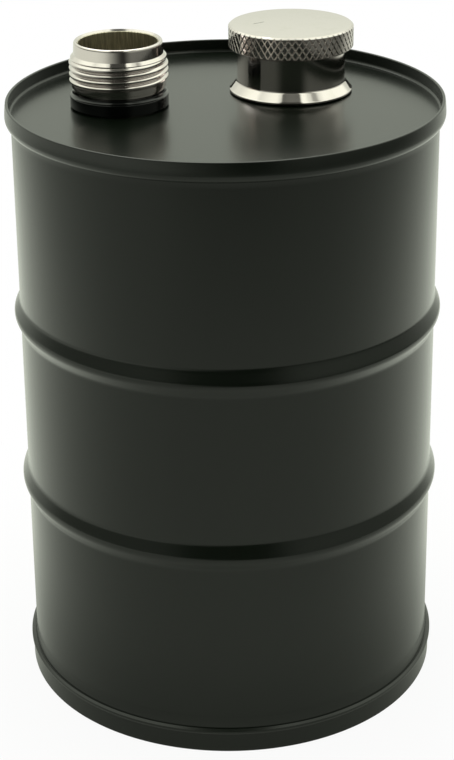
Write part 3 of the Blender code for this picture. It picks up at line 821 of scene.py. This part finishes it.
def neck_sheets():
    """The rings above, the thread with the chamfer that ends it, and the rings below."""
    angles = angles_of(NECK_COLUMNS, THREAD_START_ANGLE)
    mouth_centre = (PILOT_TOP_RADIUS - MOUTH_ROUND[0], NECK_HEIGHT - MOUTH_ROUND[1])
    above = profile_of(
        (MOUTH_RADIUS, NECK_HEIGHT),
        arc(mouth_centre, MOUTH_ROUND, 90, MOUTH_ROUND_END, 14)[:-1],
        run((PILOT_TOP_RADIUS, mouth_centre[1]), (PILOT_RADIUS, PILOT_FOOT)),
        run((PILOT_RADIUS + PILOT_BREAK, PILOT_FOOT - PILOT_BREAK), (LAND_RADIUS, LAND_TOP)),
        (LAND_RADIUS, LAND_FOOT),
    )
    heights = climbing_heights(angles, LAND_FOOT, ROOT_FOOT, THREAD_START_HEIGHT, NECK_ROWS_PER_PITCH)
    chamfer_share = np.clip((heights - ROOT_TOP) / (LAND_FOOT - ROOT_TOP), 0, 1)
    chamfer = ROOT_RADIUS + (LAND_RADIUS - ROOT_RADIUS) * chamfer_share
    share = thread_share(angles, heights, THREAD_START_ANGLE, THREAD_START_HEIGHT)
    ridge = ROOT_RADIUS + THREAD_DEPTH * share
    below = profile_of(
        (ROOT_RADIUS, ROOT_FOOT), (GROOVE_RADIUS, ROOT_FOOT - GROOVE_SLOPE), (GROOVE_RADIUS, SHOULDER_HEIGHT),
        (SPIGOT_RADIUS, SHOULDER_HEIGHT), (SPIGOT_RADIUS, SPIGOT_FOOT), (NECK_BORE_RADIUS, SPIGOT_FOOT),
        [(NECK_BORE_RADIUS, height) for height in BORE_RING_HEIGHTS],
        (NECK_BORE_RADIUS, NECK_HEIGHT - MOUTH_DEPTH), (MOUTH_RADIUS, NECK_HEIGHT),
    )
    thread = (np.maximum(ridge, chamfer), heights, -NECK_ROWS_PER_PITCH)
    return threaded_sheets(above, thread, below, DECK_HEIGHT, NECK_AXIS, angles)


spout = skin("spout", *neck_sheets())
settle(spout, "neck", "drum", neck_steel)

# %% [markdown]
# ## The cap's tube
# The cap's lower half is a polished tube with the mating thread inside and a bright flared foot, cut as
# a straight cone that ends in a thin lip. It stands 0.3 mm clear of the deck, the gap that every seam of
# this model has. Each flare share is a part of the flare's reach and a part of its rise.

# %% Cap tube
CAP_FOOT = DECK_HEIGHT + SEAM_GAP
SKIRT_RADIUS = 0.01158
SKIRT_HEIGHT = 0.0120
ENTRY_CHAMFER = 0.0005
FLARE_RADIUS = 0.01314
FLARE_LIP = 0.0004
FLARE_RISE = 0.0020
FLARE_EDGE = 0.0001
FLARE_MARGIN = 1.1
TUBE_RING_HEIGHT = 0.0095
CAP_THREAD_DEPTH = 0.0005
CAP_THREAD_START = 0.0024
CAP_THREAD_ANGLE = math.radians(-60)
CAP_THREAD_TOP = 0.0090
TUBE_ROWS_PER_PITCH = 16
FLARE_SHARES = np.array((
    (0.00, 1.00), (0.01, 0.95), (0.04, 0.89), (0.09, 0.82), (0.12, 0.792), (0.83, 0.138), (0.86, 0.11),
    (0.93, 0.05), (1.00, 0.00),
))


def cap_tube_sheets():
    """The outside down to the foot, the thread from the foot up, and the plain bore above it."""
    angles = angles_of(ROUND_COLUMNS, CAP_THREAD_ANGLE)
    flare = np.array((SKIRT_RADIUS, FLARE_LIP)) + FLARE_SHARES * (FLARE_RADIUS - SKIRT_RADIUS, FLARE_RISE)
    outside = profile_of(
        (SKIRT_BORE, SKIRT_HEIGHT), (SKIRT_RADIUS, SKIRT_HEIGHT), (SKIRT_RADIUS, TUBE_RING_HEIGHT),
        (SKIRT_RADIUS, FLARE_LIP + FLARE_MARGIN * FLARE_RISE), flare,
        (FLARE_RADIUS, FLARE_EDGE), (FLARE_RADIUS - FLARE_EDGE, 0.0),
        (SKIRT_BORE + ENTRY_CHAMFER, 0.0), (SKIRT_BORE, ENTRY_CHAMFER),
    )
    heights = climbing_heights(angles, ENTRY_CHAMFER, CAP_THREAD_TOP, CAP_THREAD_START, TUBE_ROWS_PER_PITCH)
    share = thread_share(angles, heights, CAP_THREAD_ANGLE, CAP_THREAD_START)
    thread = (SKIRT_BORE - CAP_THREAD_DEPTH * share, heights, TUBE_ROWS_PER_PITCH)
    bore = profile_of((SKIRT_BORE, CAP_THREAD_TOP), (SKIRT_BORE, SKIRT_HEIGHT))
    return threaded_sheets(outside, thread, bore, CAP_FOOT, CAP_AXIS, angles)


cap_tube = skin("cap_tube", *cap_tube_sheets())
settle(cap_tube, "cap_skirt", "cap", tube_steel)

# %% [markdown]
# ## The cap's knurled disc
# The knurl is rolled in: two families of narrow V grooves cross, one leaning left and one right, and
# leave flat-topped diamonds between them. With x the angle counted in diamonds and y the height counted
# in rows, the grooves run where (x * 2 + y) and (x * 2 - y) are odd, so the distance to the nearest
# groove says how deep the surface is. The bevels are cut after the knurl, so the radius is the smallest
# of knurl and bevels, and the bevel's edge comes out scalloped.

# %% Knurled disc
KNOB_RADIUS = 0.01337
KNOB_BORE = SKIRT_RADIUS + SEAM_GAP
KNOB_CEILING = SKIRT_HEIGHT + SEAM_GAP
KNOB_MOUTH = 0.0091
KNOB_UNDER_RADIUS = 0.01305
KNURL_FOOT = 0.0097
KNURL_TOP = 0.0140
KNURL_COUNT = 57
KNURL_ROWS = 4
KNURL_DEPTH = 0.00021
KNURL_FLAT_SHARE = 0.75
KNOB_FACE_RADIUS = 0.01295
KNOB_HEIGHT = 0.01435
KNOB_DOME_RISE = 0.00017
KNOB_DOME_RINGS = 9
KNOB_MOUTH_CHAMFER = (0.0004, 0.0001)
BEVEL_START = 0.00002
PLACES_PER_DIAMOND = 20
STEPS_PER_ROW = PLACES_PER_DIAMOND // 2
STEPS_BEYOND = (2.0, 2.5)


def groove_distances(angles, heights):
    """How far each place is from the nearest falling and the nearest rising groove; half way is 0.5."""
    diamonds = angles[None, :] * KNURL_COUNT / math.tau
    rows = (heights[:, None] - KNURL_FOOT) * KNURL_ROWS / (KNURL_TOP - KNURL_FOOT)
    leans = ((2 * diamonds + rows + 1) / 2, (2 * diamonds - rows + 1) / 2)
    return [np.abs(lean - np.round(lean)) for lean in leans]


def knurl_radius(angles, heights):
    """Knob radius less the depth: full on a groove's floor, then falling evenly to the flat's edge."""
    away = np.minimum(*groove_distances(angles, heights))
    return KNOB_RADIUS - KNURL_DEPTH * np.clip(1 - away / ((1 - KNURL_FLAT_SHARE) / 2), 0, 1)


def cap_disc_sheet():
    """Dome down to the bevel, knurl cut by both bevels, then the hollow underside up to its ceiling.

    Faces are cut along the nearer groove, so that every groove is a chain of edges and stays crisp.
    """
    angles = angles_of(KNURL_COUNT * PLACES_PER_DIAMOND)
    step = (KNURL_TOP - KNURL_FOOT) / (KNURL_ROWS * STEPS_PER_ROW)
    out = np.linspace(0.0, 1.0, KNOB_DOME_RINGS)
    dome_height = KNOB_HEIGHT + KNOB_DOME_RISE * (1 - out ** 2)
    heights = np.arange(KNURL_TOP + STEPS_BEYOND[0] * step, KNURL_FOOT - STEPS_BEYOND[1] * step, -step)
    bevel_slope = (KNOB_RADIUS + BEVEL_START - KNOB_FACE_RADIUS) / (KNOB_HEIGHT - KNURL_TOP)
    top_bevel = KNOB_FACE_RADIUS + (KNOB_HEIGHT - heights) * bevel_slope
    foot_bevel = KNOB_UNDER_RADIUS + heights - heights[-1]
    bevels = np.minimum(top_bevel, foot_bevel)[:, None]
    sides = np.minimum(knurl_radius(angles, heights), bevels)
    hollow = profile_of(
        (KNOB_BORE + KNOB_MOUTH_CHAMFER[0], KNOB_MOUTH + KNOB_MOUTH_CHAMFER[1]),
        (KNOB_BORE, KNOB_MOUTH), (KNOB_BORE, KNOB_CEILING),
        (KNOB_BORE / 2, KNOB_CEILING), (0.0, KNOB_CEILING),
    )
    radius = np.vstack((
        np.repeat(out[:, None] * KNOB_FACE_RADIUS, len(angles), axis=1), sides,
        np.repeat(hollow[:, :1], len(angles), axis=1),
    ))
    levels = np.concatenate((dome_height, heights, hollow[:, 1]))
    points, faces = sheet_of(rings_of(radius, CAP_FOOT + levels, CAP_AXIS, angles))
    between = (levels[1:] + levels[:-1]) / 2
    falling, rising = groove_distances(angles + math.pi / len(angles), between)
    return points, creased(faces, rising < falling)


cap_disc = skin("cap_disc", cap_disc_sheet())
settle(cap_disc, "cap_knob", "cap", disc_steel)

# %% [markdown]
# ## The seal
# A silicone washer sits at the top of the cap's bore and closes on the neck's rim when the cap is
# screwed home. Its edges are rounded by the mould.

# %% Seal
SEAL_THICKNESS = 0.0010
SEAL_RADIUS = SKIRT_BORE - SEAM_GAP
SEAL_EDGE = 0.00015


def seal_profile():
    """A flat disc with rounded edges; heights are above the cap's foot."""
    top, foot = SKIRT_HEIGHT, SKIRT_HEIGHT - SEAL_THICKNESS
    inner = SEAL_RADIUS - SEAL_EDGE
    return profile_of(
        (0.0, top), (inner / 2, top),
        arc((inner, top - SEAL_EDGE), SEAL_EDGE, 90, 0, 4),
        arc((inner, foot + SEAL_EDGE), SEAL_EDGE, 0, -90, 4),
        (inner / 2, foot), (0.0, foot),
    )


cap_washer = turned_skin("cap_washer", seal_profile(), CAP_AXIS, CAP_FOOT)
settle(cap_washer, "cap_seal", "seal", silicone)

# %% [markdown]
# ## How bright the surroundings are
# Black paint and polished steel show their surroundings more than themselves, so these matter as much
# as the finishes. The white table is brighter behind and beside the flask than in front of it. One
# function says so, from how far a direction points to the front, and the floor and the room share it.

# %% Table light
FRONT_WAY = (math.sin(FRONT_TURN), -math.cos(FRONT_TURN))
SIDE_WAY = (math.cos(FRONT_TURN), math.sin(FRONT_TURN))
LIGHT_COLOUR = (0.945, 1.0, 0.86, 1.0)
WHITE = (1.0, 1.0, 1.0, 1.0)
TABLE_FRONT = 0.57
TABLE_BACK = 1.32
TABLE_SPAN = (0.90, -0.95)


def table_light(ahead):
    """TABLE_FRONT straight ahead, TABLE_BACK behind, from the cosine of the angle to the front."""
    return TABLE_FRONT + (TABLE_BACK - TABLE_FRONT) * ahead.ramp(*TABLE_SPAN)


print("table light from", TABLE_FRONT, "to", TABLE_BACK)

# %% [markdown]
# ## The floor
# The flask stands on a round of pale card. A camera must see it as white as the page, yet keep the soft
# shadow at the foot, so for camera rays most of its light is plain white and a share is real, shaded
# card. The share fades out towards the rim, and the card ends without a line. In glossy reflections the
# card glows with painted light instead: the table light, with a painted shade close to the foot that
# stands in for the drum's shadow there.

# %% Floor
FLOOR_RADIUS = 0.34
CARD_COLOUR = (0.82, 0.82, 0.80, 1.0)
CARD_FIBRE_COLOUR = (0.78, 0.78, 0.76, 1.0)
CARD_ROUGHNESS = 0.9
FIBRE_WAVES = 900.0
FIBRE_TINT = 0.3
SHADOW_SHARE = 0.07
SHADOW_REACH = (0.12, 0.05)
FOOT_SHADE = 0.30
FOOT_SHADE_REACH = (0.090, 0.046)
SMALLEST = 0.001
CARD_RINGS = 12
CARD_COLUMNS = 96


def pale_card():
    """Diffuse card mixed with plain light, by the kind of ray and the distance from the middle."""
    board = board_for("pale_card")
    place = board.node("ShaderNodeTexCoord").outputs["Object"]
    x, y, z = board.parts(place)
    away = (x * x + y * y).root()
    ahead = (x * FRONT_WAY[0] + y * FRONT_WAY[1]) / away.larger(SMALLEST)
    near = away.ramp(*SHADOW_REACH)
    rays = board.node("ShaderNodeLightPath")
    seen = Number(board, rays.outputs["Is Camera Ray"])
    mirrored = Number(board, rays.outputs["Is Glossy Ray"])
    # painted shade: the glow that reflections see is made darker close to the foot, standing in for the
    # drum's shadow
    shaded = 1 - away.ramp(*FOOT_SHADE_REACH) * FOOT_SHADE
    painted_glow = table_light(ahead) * shaded
    fibre = board.noise(place, FIBRE_WAVES, 3.0)
    card = board.node("ShaderNodeBsdfPrincipled", None, {
        "Base Color": board.mixed(fibre * FIBRE_TINT, CARD_COLOUR, CARD_FIBRE_COLOUR),
        "Roughness": CARD_ROUGHNESS,
    })
    level = board.node("ShaderNodeCombineColor", None, {
        0: painted_glow * LIGHT_COLOUR[0], 1: painted_glow * LIGHT_COLOUR[1], 2: painted_glow * LIGHT_COLOUR[2],
    }).outputs[0]
    light = board.node("ShaderNodeEmission", None, {"Color": board.mixed(mirrored, WHITE, level)})
    share = (seen * (1 - near * SHADOW_SHARE)).larger(mirrored)
    both = board.node("ShaderNodeMixShader", None, {0: share, 1: card.outputs[0], 2: light.outputs[0]})
    board.node("ShaderNodeOutputMaterial", None, {"Surface": both.outputs[0]})
    return board.owner


def add_floor():
    """A flat disc at height 0, as rings from the middle out to the rim, facing up."""
    radius = np.linspace(0.0, FLOOR_RADIUS, CARD_RINGS)
    rings = rings_of(radius, np.zeros(CARD_RINGS), angles=angles_of(CARD_COLUMNS))
    floor = skin("card_floor", sheet_of(rings))
    floor.data.materials.append(pale_card())
    return floor


floor = add_floor()
print("floor faces up:", floor.data.polygons[0].normal.z > 0)

# %% [markdown]
# ## Light
# The room is a tent round the table: dark in front, where the camera stands, grey at the sides, and white
# behind, brighter with height, and overhead. A bright window stands low at the left. This is what draws
# the black paint: pale edges where it mirrors the bright table behind, and a dark crescent above each hoop
# where it mirrors the dark front. Over the camera a dark strip runs up between two bright panels, and it
# shows as the dark band in the middle of the polished flare and threads; a grey gap in the right panel
# gives the fainter band beside it. Camera rays see white everywhere. One large soft lamp above gives the
# shadow its direction.
#
# A direction has three numbers: z says how far it points up, ahead how far to the camera, and aside how
# far to the right. Each pair below holds two such numbers, and one part of the room fades in between.

# %% Walls of the room
HORIZON = (-0.275, -0.345)
CORNER_TILT = 0.27
CORNER = (0.33, 0.50)
FRONT_SPAN = (0.0, 0.3)
ROOM_LEFT = 0.25
ROOM_RIGHT = 0.36
SIDE_SPAN = (0.3, -0.3)
LOW_RIGHT_SHADE = 0.65
LOW_SPAN = (0.0, -0.2)
RIGHT_SPAN = (0.2, 0.5)
BACK_LOW = 0.84
ROOM_BACK = 1.01
BACK_RISE_SPAN = (0.14, 0.34)
BACK_SPAN = (-0.10, -0.95)
ROOM_DARK = 0.03
DARK_SPAN = (0.62, 0.28)
WINDOW = 0.85
WINDOW_SPAN = (0.25, -0.90)
WINDOW_FOOT = (-0.26, -0.20)
WINDOW_TOP = (0.06, -0.02)


def tent_walls(z, aside, bearing, front, back):
    """Brightness of the walls: sides first, then the back, the dark front and the window over them."""
    walls = aside.ramp(*SIDE_SPAN) * (ROOM_LEFT - ROOM_RIGHT) + ROOM_RIGHT
    walls = walls * (1 - z.ramp(*LOW_SPAN) * aside.ramp(*RIGHT_SPAN) * LOW_RIGHT_SHADE)
    walls = walls.towards(back, bearing.ramp(*BACK_SPAN))
    walls = walls.towards(ROOM_DARK, front * aside.size().ramp(*DARK_SPAN))
    window = aside.ramp(*WINDOW_SPAN) * z.ramp(*WINDOW_FOOT) * z.ramp(*WINDOW_TOP)
    return walls.towards(WINDOW, window)


print("the room goes from", ROOM_DARK, "in front to", ROOM_BACK, "behind")

# %% Ceiling
OVERHEAD = 1.40
OVERHEAD_AHEAD = (0.10, -0.02)
OVERHEAD_UP = (0.40, 0.65)
PANEL_LEFT = 1.35
PANEL_LEFT_EDGE = (-0.26, -0.34)
PANEL_LEFT_END = (-0.75, -0.40)
PANEL_RIGHT = 1.40
PANEL_RIGHT_EDGE = (0.58, 0.70)
BRIGHT_EDGE_START = (0.15, 0.20)
BRIGHT_EDGE_END = (0.42, 0.32)
GAP_DARK = 0.45
GAP_START = (0.44, 0.50)
GAP_END = (0.61, 0.55)
STRIP_DARK = 0.06
STRIP_FOOT = 0.20
STRIP_FOOT_SPAN = (0.38, 0.45)
STRIP_SIDES = (0.25, 0.20)
STRIP_TOP = (0.09, 0.15)


def tent_ceiling(z, ahead, aside, front, back):
    """Brightness of the ceiling: overhead white, two panels, the gap in the right one, and the strip."""
    ceiling = back.towards(OVERHEAD, ahead.ramp(*OVERHEAD_AHEAD) * z.ramp(*OVERHEAD_UP))
    left = aside.ramp(*PANEL_LEFT_EDGE) * aside.ramp(*PANEL_LEFT_END)
    ceiling = ceiling.towards(PANEL_LEFT, left * front)
    ceiling = ceiling.towards(PANEL_RIGHT, aside.ramp(*PANEL_RIGHT_EDGE))
    bright_edge = aside.ramp(*BRIGHT_EDGE_START) * aside.ramp(*BRIGHT_EDGE_END)
    ceiling = ceiling.towards(PANEL_RIGHT, bright_edge * front)
    ceiling = ceiling.towards(GAP_DARK, aside.ramp(*GAP_START) * aside.ramp(*GAP_END) * front)
    strip = ahead.ramp(*STRIP_FOOT_SPAN) * (STRIP_FOOT - STRIP_DARK) + STRIP_DARK
    return ceiling.towards(strip, aside.size().ramp(*STRIP_SIDES) * ahead.ramp(*STRIP_TOP))


print("the ceiling's strip and panels:", STRIP_DARK, PANEL_LEFT, PANEL_RIGHT)

# %% Room and lamp
LAMP_PLACE = (-0.15, 0.36, 0.80)
LAMP_AIM = (0.0, 0.0, 0.07)
LAMP_WIDTH = 0.6
LAMP_POWER = 1.8


def light_tent():
    """Table below the horizon, walls above it, and the ceiling from a border that is lower at the back."""
    world = bpy.data.worlds.new("light_tent")
    board = Board(world)
    x, y, z = board.parts(board.node("ShaderNodeTexCoord").outputs["Generated"])
    ahead = x * FRONT_WAY[0] + y * FRONT_WAY[1]
    aside = x * SIDE_WAY[0] + y * SIDE_WAY[1]
    bearing = ahead / (ahead * ahead + aside * aside).root().larger(SMALLEST)
    front = bearing.ramp(*FRONT_SPAN)
    back = z.ramp(*BACK_RISE_SPAN) * (ROOM_BACK - BACK_LOW) + BACK_LOW
    walls = tent_walls(z, aside, bearing, front, back)
    ceiling = tent_ceiling(z, ahead, aside, front, back)
    room = walls.towards(ceiling, (z - ahead * CORNER_TILT).ramp(*CORNER))
    room = room.towards(table_light(bearing), z.ramp(*HORIZON))
    camera_ray = Number(board, board.node("ShaderNodeLightPath").outputs["Is Camera Ray"])
    tint = board.mixed(camera_ray, LIGHT_COLOUR, WHITE)
    background = board.node("ShaderNodeBackground", None, {
        "Color": tint, "Strength": room.towards(1.0, camera_ray),
    })
    board.node("ShaderNodeOutputWorld", None, {"Surface": background.outputs[0]})
    return world


def add_lamp(name, place, aim, width, power):
    """A square soft lamp at a place, looking at a point."""
    light = bpy.data.lights.new(name, "AREA")
    light.size = width
    light.energy = power
    lamp = bpy.data.objects.new(name, light)
    lamp.location = place
    away = np.array(place) - np.array(aim)
    flat = math.hypot(away[0], away[1])
    lamp.rotation_euler = (math.atan2(flat, away[2]), 0.0, math.atan2(away[1], away[0]) + math.pi / 2)
    bpy.context.scene.collection.objects.link(lamp)
    return lamp


bpy.context.scene.world = light_tent()
overhead = add_lamp("overhead_softbox", LAMP_PLACE, LAMP_AIM, LAMP_WIDTH, LAMP_POWER)
bpy.context.scene.view_settings.view_transform = "Standard"
print("lamps:", overhead.name)
